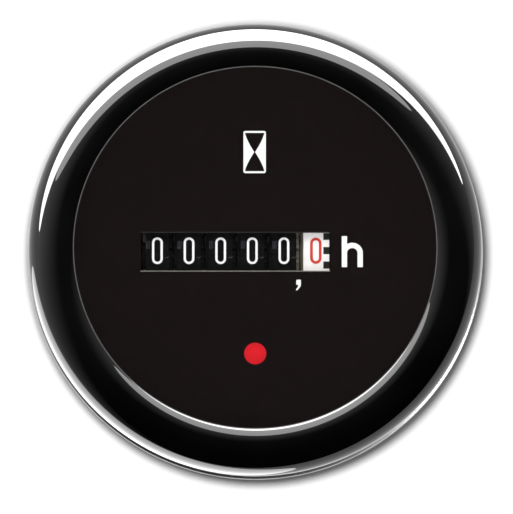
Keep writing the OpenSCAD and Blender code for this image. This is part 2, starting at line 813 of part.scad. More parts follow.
module ten_thousands_pinion() transfer_pinion(0);
module thousands_pinion() transfer_pinion(1);
module hundreds_pinion() transfer_pinion(2);
module tens_pinion() transfer_pinion(3);
module units_pinion() transfer_pinion(4);

// Moulded gear with a pinion in the lane before it: wheel pair, pinion pair and the mates' axes
module stepped_gear(axis, pinion_lane, pinion_pair, pinion_mate, wheel_pair, wheel_mate)
    difference() {
        union() {
            x_gear(
                axis, train_module, pinion_pair[0], shift(pinion_pair[0]),
                bearing(axis, pinion_mate) + 180 / pinion_pair[0],
                lane(pinion_lane), lane(pinion_lane + 1)
            );
            x_gear(
                axis, train_module, wheel_pair[1], -shift(wheel_pair[0]), bearing(axis, wheel_mate),
                lane(pinion_lane + 1), lane(pinion_lane + 1) + gear_w
            );
            x_rod(axis, gear_hub_r, right_back + end_play, gear_plate_x - end_play);
        }
        x_rod(axis, arbor_r + seat_clear, right_back - cut, gear_plate_x + cut);
    }

module third_gear() color([0.85, 0.83, 0.76]) in_part_frame()
    stepped_gear(third_axis, 0, drive_pair, counter_axis, third_pair, second_axis);

module second_gear() color([0.85, 0.83, 0.76]) in_part_frame()
    stepped_gear(second_axis, 1, third_pair, third_axis, second_pair, drum_axis);

// Steel arbor that runs in the right cheek and in the gear plate
module gear_arbor(axis, x0) color([0.7, 0.7, 0.72]) in_part_frame()
    x_rod(axis, arbor_r, x0, gear_plate_x + cheek_t);

module third_arbor() gear_arbor(third_axis, right_face);
module second_arbor() gear_arbor(second_axis, right_face);
module indicator_arbor() gear_arbor(drum_axis, drum_post_x);

// Gear on the indicator's arbor, driven by the rotor's pinion
module first_gear() color([0.85, 0.83, 0.76]) in_part_frame()
    difference() {
        union() {
            x_gear(
                drum_axis, motor_module, first_pair[1], -shift(first_pair[0]),
                bearing(drum_axis, rotor_axis), first_gear_x, first_gear_x + gear_w
            );
            x_rod(drum_axis, hub_r, first_gear_x, first_gear_x + 2 * gear_w);
        }
        x_rod(drum_axis, arbor_r + seat_clear, first_gear_x - cut, first_gear_x + 2 * gear_w + cut);
    }

module first_pinion() color([0.85, 0.83, 0.76]) in_part_frame()
    difference() {
        union() {
            x_gear(
                drum_axis, train_module, second_pair[0], shift(second_pair[0]),
                bearing(drum_axis, second_axis) + 180 / second_pair[0], lane(2), lane(2) + gear_w
            );
            x_rod(drum_axis, gear_hub_r, right_back + end_play, gear_plate_x - end_play);
        }
        x_rod(drum_axis, arbor_r + seat_clear, right_back - cut, gear_plate_x + cut);
    }

// Thin drum with a web and a hub on the indicator's arbor
module indicator_drum() color([0.85, 0.09, 0.1]) in_part_frame()
    difference() {
        union() {
            difference() {
                x_rod(drum_axis, drum_r, drum_x, -drum_x);
                x_rod(drum_axis, drum_r - drum_wall, drum_x - cut, -web_t / 2);
                x_rod(drum_axis, drum_r - drum_wall, web_t / 2, cut - drum_x);
            }
            x_rod(drum_axis, gear_hub_r + drum_wall, drum_x, -drum_x);
        }
        x_rod(drum_axis, arbor_r + seat_clear, drum_x - cut, cut - drum_x);
    }

module rotor_shaft() color([0.7, 0.7, 0.72]) in_part_frame()
    x_rod(rotor_axis, rotor_shaft_r, motor_post_x, right_back);

module rotor_magnet() color([0.3, 0.3, 0.32]) in_part_frame()
    difference() {
        x_rod(rotor_axis, magnet_r, magnet_x, magnet_x + magnet_t);
        x_rod(rotor_axis, rotor_shaft_r + seat_clear, magnet_x - cut, magnet_x + magnet_t + cut);
    }

module rotor_pinion() color([0.85, 0.83, 0.76]) in_part_frame()
    difference() {
        x_gear(
            rotor_axis, motor_module, first_pair[0], shift(first_pair[0]),
            bearing(rotor_axis, drum_axis) + 180 / first_pair[0],
            first_gear_x - end_play, first_gear_x + gear_w + end_play
        );
        x_rod(rotor_axis, rotor_shaft_r + seat_clear, first_gear_x - cut, first_gear_x + gear_w + cut);
    }

// Soft-iron plate: poles around the rotor, two legs down to the coil's core
module stator() color([0.55, 0.55, 0.57]) in_part_frame()
    difference() {
        along_x(stator_x, core_x) translate(rotor_axis)
            difference() {
                union() {
                    translate([-stator_len / 2, -pole_w / 2]) square([stator_len, pole_w]);
                    for (side = [-1, 1])
                        translate([side * leg_offset - leg_w / 2, -core_drop - leg_w / 2])
                            square([leg_w, core_drop]);
                }
                circle(magnet_r + air_gap);
                for (side = [-1, 1])
                    translate([0, side * pole_w / 2]) circle(pole_w / 2 - magnet_r - air_gap - pole_bridge);
            }
        motor_screw_holes(stator_x, core_x);
    }

// Holes for the two motor screws
module motor_screw_holes(x0, x1)
    for (side = [-1, 1])
        x_rod(core_axis + [side * leg_offset, 0], motor_screw_r + seat_clear, x0 - cut, x1 + cut);

module coil_core() color([0.55, 0.55, 0.57]) in_part_frame()
    difference() {
        x_box(
            core_x, core_x + core_t, core_axis[0] - stator_len / 2, core_axis[0] + stator_len / 2,
            core_axis[1] - leg_w / 2, core_axis[1] + leg_w / 2
        );
        motor_screw_holes(core_x, core_x + core_t);
    }

// Block around the coil's core, wider than it by the given margin
module core_block(margin, half)
    x_box(
        core_x - margin, core_x + core_t + margin, core_axis[0] - half, core_axis[0] + half,
        core_axis[1] - leg_w / 2 - margin, core_axis[1] + leg_w / 2 + margin
    );

// Rod along y about the coil's core
module coil_rod(r, y0, y1)
    translate([core_mid_x, core_axis[0] + y0, core_axis[1]]) rotate([-90, 0, 0])
        cylinder(h = y1 - y0, r = r);

module coil_bobbin() color([0.12, 0.25, 0.5]) in_part_frame()
    difference() {
        union() {
            core_block(seat_clear + bobbin_wall, coil_half);
            coil_rod(winding_r + bobbin_wall, -coil_half, bobbin_cheek - coil_half);
            coil_rod(winding_r + bobbin_wall, coil_half - bobbin_cheek, coil_half);
        }
        core_block(seat_clear, coil_half + cut);
    }

module coil_winding() color([0.72, 0.42, 0.2]) in_part_frame()
    difference() {
        coil_rod(winding_r, bobbin_cheek + seat_clear - coil_half, coil_half - bobbin_cheek - seat_clear);
        core_block(2 * seat_clear + bobbin_wall, coil_half);
    }

// Two screws that hold stator and core on the frame's bosses
module motor_screws() color([0.6, 0.6, 0.62]) in_part_frame()
    for (side = [-1, 1]) {
        axis = core_axis + [side * leg_offset, 0];
        x_rod(axis, motor_head_r, stator_x - seat_clear - motor_head_t, stator_x - seat_clear);
        x_rod(
            axis, motor_screw_r,
            stator_x - motor_head_t / 2, core_x + core_t + motor_screw_end - seat_clear
        );
    }

module circuit_board() color([0.05, 0.3, 0.14]) in_part_frame()
    difference() {
        z_disc(board_r, board_back, board_front);
        at_pillars() translate([0, 0, board_back - cut])
            cylinder(h = board_t + 2 * cut, r = pillar_foot_r + hole_clear);
        at_blades() translate([-tail_w / 2 - hole_clear, -blade_t / 2 - hole_clear, board_back - cut])
            cube([tail_w + 2 * hole_clear, blade_t + 2 * hole_clear, board_t + 2 * cut]);
    }

// Cylindrical can lying on the board's front
module quartz_crystal() color([0.75, 0.75, 0.77]) in_part_frame()
    x_rod([crystal_y, board_front + crystal_r + seat_clear], crystal_r, -crystal_len / 2, crystal_len / 2);

module driver_chip() color([0.06, 0.06, 0.065]) in_part_frame() {
    translate([chip_x - chip_size[0] / 2, -chip_size[1] / 2, board_front + chip_lift]) cube(chip_size);
    for (side = [-1, 1], i = [-1.5:1:1.5])
        translate([
            chip_x + i * chip_pin_pitch - chip_pin[0] / 2,
            side * (chip_size[1] + chip_pin[1]) / 2 - chip_pin[1] / 2,
            board_front + seat_clear
        ])
            cube(chip_pin);
}

// Upright can on the board's back
module capacitor() color([0.1, 0.12, 0.3]) in_part_frame()
    z_disc(capacitor_r, board_back - capacitor_h, board_back - seat_clear);

module diodes() color([0.08, 0.08, 0.08]) in_part_frame()
    for (x = diode_xs)
        translate([x - diode_size[0] / 2, diode_y, board_front + seat_clear]) cube(diode_size);

module resistors() color([0.12, 0.12, 0.12]) in_part_frame()
    for (i = [0:3])
        translate([resistor_x + i * resistor_pitch, resistor_y, board_front + seat_clear])
            cube(resistor_size);

// Flat blade with a narrow solder tail, a chamfered tip and a catch hole
module blade()
    rotate([90, 0, 0])
        translate([0, 0, -blade_t / 2]) linear_extrude(blade_t) difference() {
            polygon([
                [-tail_w / 2, blade_front], [-tail_w / 2, blade_shoulder], [-blade_w / 2, blade_shoulder],
                [-blade_w / 2, blade_tip + blade_chamfer], [blade_chamfer - blade_w / 2, blade_tip],
                [blade_w / 2 - blade_chamfer, blade_tip], [blade_w / 2, blade_tip + blade_chamfer],
                [blade_w / 2, blade_shoulder], [tail_w / 2, blade_shoulder], [tail_w / 2, blade_front]
            ]);
            translate([0, blade_tip + blade_hole_from_tip]) circle(blade_hole_r);
        }

module blade_terminals() color([0.78, 0.76, 0.7]) in_part_frame() at_blades() blade();

// Slotted screws through the rear wall into the frame's pillars
module frame_screws() color([0.6, 0.6, 0.62]) in_part_frame()
    at_pillars() difference() {
        head_z = case_back - seat_clear;
        union() {
            z_disc(screw_head_r, head_z - screw_head_t, head_z);
            z_disc(screw_shank_r, head_z - screw_head_t / 2, head_z + screw_len);
        }
        translate([-screw_head_r - cut, -screw_slot_w / 2, head_z - screw_head_t - cut])
            cube([2 * screw_head_r + 2 * cut, screw_slot_w, screw_slot_d + cut]);
    }

housing();
bezel();
rim_ring();
glass();
glass_seal();
dial_spacer();
dial();
panel_seal();
nut_washer();
ring_nut();
movement_frame();
gear_plate();
gear_plate_screws();
counter_shaft();
drive_gear();
tenths_wheel();
units_wheel();
tens_wheel();
hundreds_wheel();
thousands_wheel();
ten_thousands_wheel();
transfer_shaft();
units_pinion();
tens_pinion();
hundreds_pinion();
thousands_pinion();
ten_thousands_pinion();
third_gear();
third_arbor();
second_gear();
second_arbor();
first_gear();
first_pinion();
indicator_drum();
indicator_arbor();
rotor_shaft();
rotor_magnet();
rotor_pinion();
stator();
coil_core();
coil_bobbin();
coil_winding();
motor_screws();
circuit_board();
quartz_crystal();
driver_chip();
capacitor();
diodes();
resistors();
blade_terminals();
frame_screws();
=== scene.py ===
"""Looks of the panel hour meter: lathe-turned bezel and rim, printed dial, number wheels, thread,
finishes for every solid, and the studio that it is photographed in."""

import json
import math

import bpy
import numpy as np
from mathutils import Matrix, Vector


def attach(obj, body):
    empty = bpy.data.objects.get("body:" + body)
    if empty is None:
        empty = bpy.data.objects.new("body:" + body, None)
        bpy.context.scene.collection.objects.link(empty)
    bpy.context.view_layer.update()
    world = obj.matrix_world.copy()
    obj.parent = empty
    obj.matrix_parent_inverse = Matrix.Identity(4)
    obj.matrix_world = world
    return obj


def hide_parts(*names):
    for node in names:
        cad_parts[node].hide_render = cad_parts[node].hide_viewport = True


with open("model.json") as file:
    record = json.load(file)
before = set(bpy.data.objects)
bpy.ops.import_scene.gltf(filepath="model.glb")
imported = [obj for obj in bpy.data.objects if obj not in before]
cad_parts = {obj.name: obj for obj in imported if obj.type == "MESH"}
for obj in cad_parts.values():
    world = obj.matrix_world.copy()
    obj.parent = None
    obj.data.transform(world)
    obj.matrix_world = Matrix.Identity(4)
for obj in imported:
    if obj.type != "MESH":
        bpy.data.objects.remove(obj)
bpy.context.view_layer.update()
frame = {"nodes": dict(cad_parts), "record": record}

MM = 0.001

# Sizes that the solids have, in millimetres; "out" is the distance in front of the panel
BEZEL_R = 29.06
CREST_R = 25.06
SHOULDER_R = 4.0
CROWN_R = 3.2
BEZEL_TOP = 8.5
BEZEL_BACK = 0.74
VIEW_R = 23.25
GLASS_FRONT = 7.2
GLASS_POCKET_R = 26.79
FLANGE_POCKET_R = 28.06
FLANGE_POCKET = (1.34, 3.46)
HOOK_R = 27.5
RIM_BEAD_R = 0.31
RIM_BEAD_AT = (28.95, 0.40)
DIAL_FRONT = 3.5
WHEEL_R = 7.1
WHEEL_AXIS_OUT = -4.6
WHEEL_PITCH = 4.06
FIRST_WHEEL_X = -12.55
DRUM_R = 4.8
DRUM_HALF_W = 2.4
DRUM_AXIS = (-12.97, -2.3)
BARREL_R = 25.6
THREAD_PITCH = 3.0


# Surfaces


def placed(x, up, out):
    """Dial coordinates in millimetres to the part's frame in metres: (x, -out, up)."""
    x, up, out = np.broadcast_arrays(x, up, out)
    return np.stack([x, -out, up], -1) * MM


def grid_quads(n, m, wrap_n, wrap_m):
    """Corner numbers of the quads of an n by m grid, closed along either side that wraps."""
    i = np.arange(n if wrap_n else n - 1)[:, None]
    j = np.arange(m if wrap_m else m - 1)[None, :]
    i2, j2 = (i + 1) % n, (j + 1) % m
    return np.stack(np.broadcast_arrays(i * m + j, i2 * m + j, i2 * m + j2, i * m + j2), -1).reshape(-1, 4)


def closed_tube(grid, loop):
    """A section of m points carried through n stations. An open run of four-point sections gets end faces.
    The faces are turned outwards by the sign of the enclosed volume."""
    n, m = grid.shape[:2]
    points = grid.reshape(-1, 3)
    quads = grid_quads(n, m, loop, True)
    if not loop:
        first = np.arange(4)[None, :]
        quads = np.concatenate([quads, first, first[:, ::-1] + (n - 1) * m])
    a, b, c, d = (points[quads[:, k]] for k in range(4))
    volume = np.einsum("ij,ij->i", a, np.cross(b, c) + np.cross(c, d)).sum()
    return points, quads if volume > 0 else quads[:, ::-1]


def joined(solids):
    """Several (points, quads) as one."""
    starts = np.cumsum([0] + [len(p) for p, _ in solids[:-1]])
    return (
        np.concatenate([p for p, _ in solids]),
        np.concatenate([q + s for (_, q), s in zip(solids, starts)]),
    )


def mesh_object(name, points, quads, smooth_angle=35.0):
    """Puts whole arrays of points and quads into a mesh, smooth where faces meet below the angle."""
    mesh = bpy.data.meshes.new(name)
    mesh.vertices.add(len(points))
    mesh.vertices.foreach_set("co", points.astype(np.float32).ravel())
    mesh.loops.add(quads.size)
    mesh.loops.foreach_set("vertex_index", quads.astype(np.int32).ravel())
    mesh.polygons.add(len(quads))
    mesh.polygons.foreach_set("loop_start", np.arange(len(quads), dtype=np.int32) * 4)
    mesh.update(calc_edges=True)
    mesh.polygons.foreach_set("use_smooth", np.ones(len(quads), bool))
    mesh.set_sharp_from_angle(angle=math.radians(smooth_angle))
    mesh.validate()
    obj = bpy.data.objects.new(name, mesh)
    bpy.context.scene.collection.objects.link(obj)
    return obj


def lathe(profile, stations):
    """A closed profile of (radius, out) turned about the axis: (r sin a, r cos a, out)."""
    a = np.linspace(0, 2 * np.pi, stations, endpoint=False)[:, None]
    r, out = profile[None, :, 0], profile[None, :, 1]
    return closed_tube(placed(r * np.sin(a), r * np.cos(a), out), True)


def arc(centre, rx, ry, a0, a1, n):
    """Points of an ellipse's arc, angles in degrees."""
    a = np.radians(np.linspace(a0, a1, n))
    return np.stack([centre[0] + rx * np.cos(a), centre[1] + ry * np.sin(a)], -1)


def run(*corners, step=0.16):
    """A polyline through the corners with points no further apart than the step."""
    legs = []
    for p, q in zip(corners[:-1], corners[1:]):
        p, q = np.array(p, float), np.array(q, float)
        n = max(int(np.ceil(np.linalg.norm(q - p) / step)), 1)
        legs.append(p + (q - p) * np.linspace(0, 1, n, endpoint=False)[:, None])
    return np.concatenate([*legs, [np.array(corners[-1], float)]])


def stroke(path, width, low, high, loop):
    """A flat bar of the given width along a path: each station's section is offset along the path's
    mitred normal. Gives (x, up, height) for each corner."""
    forward = np.roll(path, -1, 0) - path
    if not loop:
        forward[-1] = forward[-2]
    forward /= np.linalg.norm(forward, axis=1, keepdims=True)
    normal = np.stack([-forward[:, 1], forward[:, 0]], -1)
    before = np.roll(normal, 1, 0)
    if not loop:
        before[0] = normal[0]
    mitre = (normal + before) / np.maximum(1 + (normal * before).sum(1, keepdims=True), 0.5)
    left, right = path + mitre * width / 2, path - mitre * width / 2
    corners = np.stack([left, left, right, right], 1)
    heights = np.broadcast_to(np.array([low, high, high, low]), corners.shape[:2])
    return np.concatenate([corners, heights[..., None]], -1)


def slab(left, right, up, low, high):
    """A flat plate between two edges given row by row: (x, up, height) for each corner."""
    x = np.stack([left, left, right, right], 1)
    heights = np.broadcast_to(np.array([low, high, high, low]), x.shape)
    return np.stack([x, np.broadcast_to(np.asarray(up)[:, None], x.shape), heights], -1)


def on_dial(corners, loop=False):
    """Lays a bar or plate on the dial's front face."""
    return closed_tube(placed(corners[..., 0], corners[..., 1], DIAL_FRONT + corners[..., 2]), loop)


def on_roller(corners, x, turn, radius, axis, loop=False):
    """Wraps a bar or plate round a roller: its height adds to the radius and its rise becomes an angle."""
    angle = corners[..., 1] / radius + np.radians(turn)
    r = radius + corners[..., 2]
    up = axis[0] + r * np.sin(angle)
    out = axis[1] + r * np.cos(angle)
    return closed_tube(placed(x + corners[..., 0], up, out), loop)


# Finishes


def node_group(name, inputs, outputs):
    """An empty shader group with the named sockets, as (group, inside input node, inside output node)."""
    group = bpy.data.node_groups.new(name, "ShaderNodeTree")
    for label, kind, value in inputs:
        made = group.interface.new_socket(label, in_out="INPUT", socket_type=kind)
        if value is not None:
            made.default_value = value
    for label, kind in outputs:
        group.interface.new_socket(label, in_out="OUTPUT", socket_type=kind)
    return group, group.nodes.new("NodeGroupInput"), group.nodes.new("NodeGroupOutput")


def grain_group():
    """Cloudy colour, roughness and fine relief: one coarse noise for tone, one eight times finer
    for relief."""
    group, given, out = node_group(
        "surface_grain",
        [
            ("Vector", "NodeSocketVector", None),
            ("Stretch", "NodeSocketVector", (1, 1, 1)),
            ("Scale", "NodeSocketFloat", 1000.0),
            ("Dark", "NodeSocketColor", None),
            ("Light", "NodeSocketColor", None),
            ("Smooth", "NodeSocketFloat", 0.3),
            ("Rough", "NodeSocketFloat", 0.5),
        ],
        [("Color", "NodeSocketColor"), ("Roughness", "NodeSocketFloat"), ("Height", "NodeSocketFloat")],
    )
    new, link = group.nodes.new, group.links.new
    stretch = new("ShaderNodeVectorMath")
    stretch.operation = "MULTIPLY"
    link(given.outputs["Vector"], stretch.inputs[0])
    link(given.outputs["Stretch"], stretch.inputs[1])
    finer = new("ShaderNodeMath")
    finer.operation = "MULTIPLY"
    finer.inputs[1].default_value = 8.0
    link(given.outputs["Scale"], finer.inputs[0])
    coarse, fine = new("ShaderNodeTexNoise"), new("ShaderNodeTexNoise")
    coarse.inputs["Detail"].default_value = 4.0
    fine.inputs["Detail"].default_value = 2.0
    link(stretch.outputs[0], coarse.inputs["Vector"])
    link(stretch.outputs[0], fine.inputs["Vector"])
    link(given.outputs["Scale"], coarse.inputs["Scale"])
    link(finer.outputs[0], fine.inputs["Scale"])
    spread = new("ShaderNodeMapRange")
    spread.inputs["From Min"].default_value = 0.3
    spread.inputs["From Max"].default_value = 0.7
    link(coarse.outputs["Fac"], spread.inputs["Value"])
    tone = new("ShaderNodeMix")
    tone.data_type = "RGBA"
    link(spread.outputs[0], tone.inputs["Factor"])
    link(given.outputs["Dark"], tone.inputs[6])
    link(given.outputs["Light"], tone.inputs[7])
    level = new("ShaderNodeMapRange")
    link(fine.outputs["Fac"], level.inputs["Value"])
    link(given.outputs["Smooth"], level.inputs["To Min"])
    link(given.outputs["Rough"], level.inputs["To Max"])
    link(tone.outputs[2], out.inputs["Color"])
    link(level.outputs[0], out.inputs["Roughness"])
    link(fine.outputs["Fac"], out.inputs["Height"])
    return group


GRAIN = grain_group()

SOCKETS = {"metallic": "Metallic", "specular": "Specular IOR Level", "ior": "IOR"}


def finish(name, dark, light, scale, rough, relief, stretch=(1, 1, 1), **values):
    """A finish that varies between two tones and two roughnesses, with fine relief of the given depth
    in metres. Values that are the same all over go straight to the shader's own sockets."""
    material = bpy.data.materials.new(name)
    material.use_nodes = True
    tree = material.node_tree
    shader = tree.nodes["Principled BSDF"]
    place = tree.nodes.new("ShaderNodeTexCoord")
    grain = tree.nodes.new("ShaderNodeGroup")
    grain.node_tree = GRAIN
    grain.inputs["Stretch"].default_value = stretch
    grain.inputs["Scale"].default_value = scale
    grain.inputs["Dark"].default_value = (*dark, 1)
    grain.inputs["Light"].default_value = (*light, 1)
    grain.inputs["Smooth"].default_value = rough[0]
    grain.inputs["Rough"].default_value = rough[1]
    bump = tree.nodes.new("ShaderNodeBump")
    bump.inputs["Distance"].default_value = relief
    bump.inputs["Strength"].default_value = 0.5
    tree.links.new(place.outputs["Object"], grain.inputs["Vector"])
    tree.links.new(grain.outputs["Color"], shader.inputs["Base Color"])
    tree.links.new(grain.outputs["Roughness"], shader.inputs["Roughness"])
    tree.links.new(grain.outputs["Height"], bump.inputs["Height"])
    tree.links.new(bump.outputs["Normal"], shader.inputs["Normal"])
    for key, value in values.items():
        shader.inputs[SOCKETS[key]].default_value = value
    return material


def grey(*levels):
    return tuple((v, v, v) for v in levels)


def two_tone_along_x(material, limit, other_dark, other_light):
    """Gives the side below x = limit another colour: a second grain mixed in by the object's own x."""
    tree = material.node_tree
    shader = tree.nodes["Principled BSDF"]
    first = shader.inputs["Base Color"].links[0].from_node
    place = next(n for n in tree.nodes if n.type == "TEX_COORD")
    second = tree.nodes.new("ShaderNodeGroup")
    second.node_tree = GRAIN
    second.inputs["Scale"].default_value = first.inputs["Scale"].default_value
    second.inputs["Dark"].default_value = (*other_dark, 1)
    second.inputs["Light"].default_value = (*other_light, 1)
    split = tree.nodes.new("ShaderNodeSeparateXYZ")
    side = tree.nodes.new("ShaderNodeMath")
    side.operation = "LESS_THAN"
    side.inputs[1].default_value = limit
    mix = tree.nodes.new("ShaderNodeMix")
    mix.data_type = "RGBA"
    tree.links.new(place.outputs["Object"], second.inputs["Vector"])
    tree.links.new(place.outputs["Object"], split.inputs[0])
    tree.links.new(split.outputs["X"], side.inputs[0])
    tree.links.new(side.outputs[0], mix.inputs["Factor"])
    tree.links.new(first.outputs["Color"], mix.inputs[6])
    tree.links.new(second.outputs["Color"], mix.inputs[7])
    tree.links.new(mix.outputs[2], shader.inputs["Base Color"])
    return material


def wound_wire(material, pitch):
    """Adds the round turns of a winding along the part's height to a finish."""
    tree = material.node_tree
    shader = tree.nodes["Principled BSDF"]
    place = next(n for n in tree.nodes if n.type == "TEX_COORD")
    bump = next(n for n in tree.nodes if n.type == "BUMP")
    turns = tree.nodes.new("ShaderNodeTexWave")
    turns.wave_type = "BANDS"
    turns.bands_direction = "Z"
    turns.inputs["Scale"].default_value = math.pi / (10 * pitch)
    turns.inputs["Distortion"].default_value = 0.0
    over = tree.nodes.new("ShaderNodeBump")
    over.inputs["Distance"].default_value = pitch / 3
    tree.links.new(place.outputs["Object"], turns.inputs["Vector"])
    tree.links.new(turns.outputs["Fac"], over.inputs["Height"])
    tree.links.new(bump.outputs["Normal"], over.inputs["Normal"])
    tree.links.new(over.outputs["Normal"], shader.inputs["Normal"])
    return material


def clear_glass():
    """Flat instrument glass with a thin anti-reflection layer. Shadow rays pass, so lamps reach the dial."""
    material = finish("clear_glass", (0.97, 0.985, 0.98), (1, 1, 1), 60.0, (0.0, 0.012), 0.0)
    tree = material.node_tree
    shader = tree.nodes["Principled BSDF"]
    shader.inputs["Transmission Weight"].default_value = 1.0
    shader.inputs["IOR"].default_value = 1.45
    shader.inputs["Specular IOR Level"].default_value = 0.35
    output = tree.nodes["Material Output"]
    path = tree.nodes.new("ShaderNodeLightPath")
    through = tree.nodes.new("ShaderNodeBsdfTransparent")
    mix = tree.nodes.new("ShaderNodeMixShader")
    tree.links.new(path.outputs["Is Shadow Ray"], mix.inputs["Fac"])
    tree.links.new(shader.outputs["BSDF"], mix.inputs[1])
    tree.links.new(through.outputs["BSDF"], mix.inputs[2])
    tree.links.new(mix.outputs["Shader"], output.inputs["Surface"])
    return material


MATERIALS = {
    "bezel_black": finish("bezel_black", *grey(0.0006, 0.0012), 90.0, (0.015, 0.045), 0.0, ior=1.5),
    "housing_black": finish("housing_black", *grey(0.012, 0.02), 900.0, (0.42, 0.62), 2.5e-5),
    "rim_metal": finish(
        "rim_metal", *grey(0.56, 0.68), 400.0, (0.3, 0.42), 0.0, stretch=(1, 6, 1), metallic=1.0
    ),
    # Painted highlight: the grey of the ring at the bezel's inner lip stands in for the light its edge
    # catches.
    "lip_grey": finish("lip_grey", *grey(0.125, 0.18), 900.0, (0.3, 0.45), 0.0, metallic=0.0),
    "clear_glass": clear_glass(),
    "seal_rubber": finish("seal_rubber", *grey(0.008, 0.016), 1500.0, (0.6, 0.8), 3e-5),
    "dial_black": finish(
        "dial_black", (0.0104, 0.0076, 0.0074), (0.012, 0.009, 0.0086), 700.0, (0.5, 0.65), 4e-6,
        specular=0.0,
    ),
    "washer_steel": finish(
        "washer_steel", *grey(0.42, 0.58), 700.0, (0.22, 0.42), 4e-6, stretch=(1, 5, 1), metallic=1.0
    ),
    "nut_black": finish("nut_black", *grey(0.014, 0.024), 1100.0, (0.4, 0.58), 2.5e-5),
    "frame_plastic": finish("frame_plastic", *grey(0.03, 0.045), 800.0, (0.45, 0.6), 2e-5),
    "screw_steel": finish(
        "screw_steel", *grey(0.45, 0.62), 1200.0, (0.18, 0.36), 3e-6, stretch=(1, 6, 1), metallic=1.0
    ),
    "shaft_steel": finish(
        "shaft_steel", *grey(0.5, 0.65), 1500.0, (0.12, 0.26), 2e-6, stretch=(1, 6, 6), metallic=1.0
    ),
    "gear_plastic": finish(
        "gear_plastic", (0.66, 0.61, 0.5), (0.74, 0.7, 0.6), 900.0, (0.32, 0.46), 6e-6
    ),
    "wheel_black": two_tone_along_x(
        finish(
            "wheel_black", (0.095, 0.086, 0.065), (0.118, 0.106, 0.082), 1400.0, (0.4, 0.55), 5e-6,
            specular=0.0,
        ),
        5.28 * MM, *grey(0.0048, 0.008),
    ),
    "wheel_white": two_tone_along_x(
        finish(
            "wheel_white", (0.78, 0.754, 0.745), (0.836, 0.811, 0.8), 900.0, (0.4, 0.55), 4e-6, specular=0.0
        ),
        6.16 * MM, (0.063, 0.057, 0.044), (0.078, 0.07, 0.057),
    ),
    "print_white": finish("print_white", *grey(0.76, 0.82), 1800.0, (0.5, 0.65), 2e-6, specular=0.0),
    "print_red": finish(
        "print_red", (0.513, 0.049, 0.036), (0.589, 0.061, 0.048), 1800.0, (0.5, 0.6), 2e-6, specular=0.0
    ),
    "print_black": finish(
        "print_black", (0.015, 0.016, 0.013), (0.025, 0.026, 0.021), 1800.0, (0.5, 0.6), 2e-6, specular=0.0
    ),
    # Painted glints: the grey ribs and ticks on the number wheels stand in for the glint of gear teeth
    # between the wheels.
    "mark_grey": finish(
        "mark_grey", (0.03, 0.03, 0.036), (0.042, 0.042, 0.051), 1800.0, (0.4, 0.5), 2e-6, specular=0.0
    ),
    "tick_grey": finish("tick_grey", *grey(0.049, 0.065), 1800.0, (0.4, 0.5), 2e-6, specular=0.0),
    # Lit and shaded copies for the window's bevel edges: a painted highlight on the sill and a fainter
    # painted highlight on the head.
    "sill_grey": finish(
        "sill_grey", (0.215, 0.203, 0.183), (0.271, 0.257, 0.236), 1200.0, (0.3, 0.45), 3e-6, specular=0.0
    ),
    "head_grey": finish("head_grey", *grey(0.028, 0.039), 1200.0, (0.35, 0.5), 3e-6, specular=0.0),
    "drum_red": finish(
        "drum_red", (0.8, 0.0204, 0.0306), (0.855, 0.0222, 0.033), 900.0, (0.4, 0.52), 4e-6, specular=0.0
    ),
    "drum_dark": finish("drum_dark", *grey(0.028, 0.042), 900.0, (0.45, 0.55), 4e-6, specular=0.0),
    "magnet_grey": finish("magnet_grey", *grey(0.07, 0.12), 2500.0, (0.4, 0.6), 1e-5, metallic=0.6),
    "soft_iron": finish(
        "soft_iron", *grey(0.3, 0.42), 900.0, (0.3, 0.48), 4e-6, stretch=(1, 1, 6), metallic=1.0
    ),
    "bobbin_blue": finish("bobbin_blue", (0.012, 0.05, 0.2), (0.018, 0.065, 0.25), 900.0, (0.35, 0.5), 5e-6),
    "copper_wire": wound_wire(
        finish("copper_wire", (0.5, 0.18, 0.06), (0.66, 0.27, 0.1), 1200.0, (0.2, 0.35), 0.0, metallic=1.0),
        0.12 * MM,
    ),
    "board_green": finish("board_green", (0.004, 0.06, 0.02), (0.01, 0.11, 0.04), 350.0, (0.25, 0.45), 1e-5),
    "crystal_can": finish(
        "crystal_can", *grey(0.55, 0.7), 1000.0, (0.15, 0.3), 2e-6, stretch=(6, 1, 1), metallic=1.0
    ),
    "chip_black": finish("chip_black", *grey(0.01, 0.018), 1800.0, (0.45, 0.6), 8e-6),
    "capacitor_sleeve": finish(
        "capacitor_sleeve", (0.006, 0.01, 0.06), (0.012, 0.018, 0.09), 800.0, (0.2, 0.35), 3e-6
    ),
    "blade_tin": finish(
        "blade_tin", (0.52, 0.5, 0.45), (0.68, 0.66, 0.6), 800.0, (0.2, 0.42), 4e-6,
        stretch=(5, 1, 5), metallic=1.0,
    ),
}


def dress(obj, material):
    obj.data.materials.clear()
    obj.data.materials.append(MATERIALS[material])
    return obj


for entry in frame["record"]["subparts"]:
    dress(frame["nodes"][entry["node"]], entry["material_slot"])


def piece(name, solids, material, body, smooth_angle=35.0):
    """One new piece: its solids joined, finished, and riding on a body."""
    obj = dress(mesh_object(name, *joined(solids), smooth_angle=smooth_angle), material)
    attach(obj, body)
    return obj


# Bezel, rim and lip


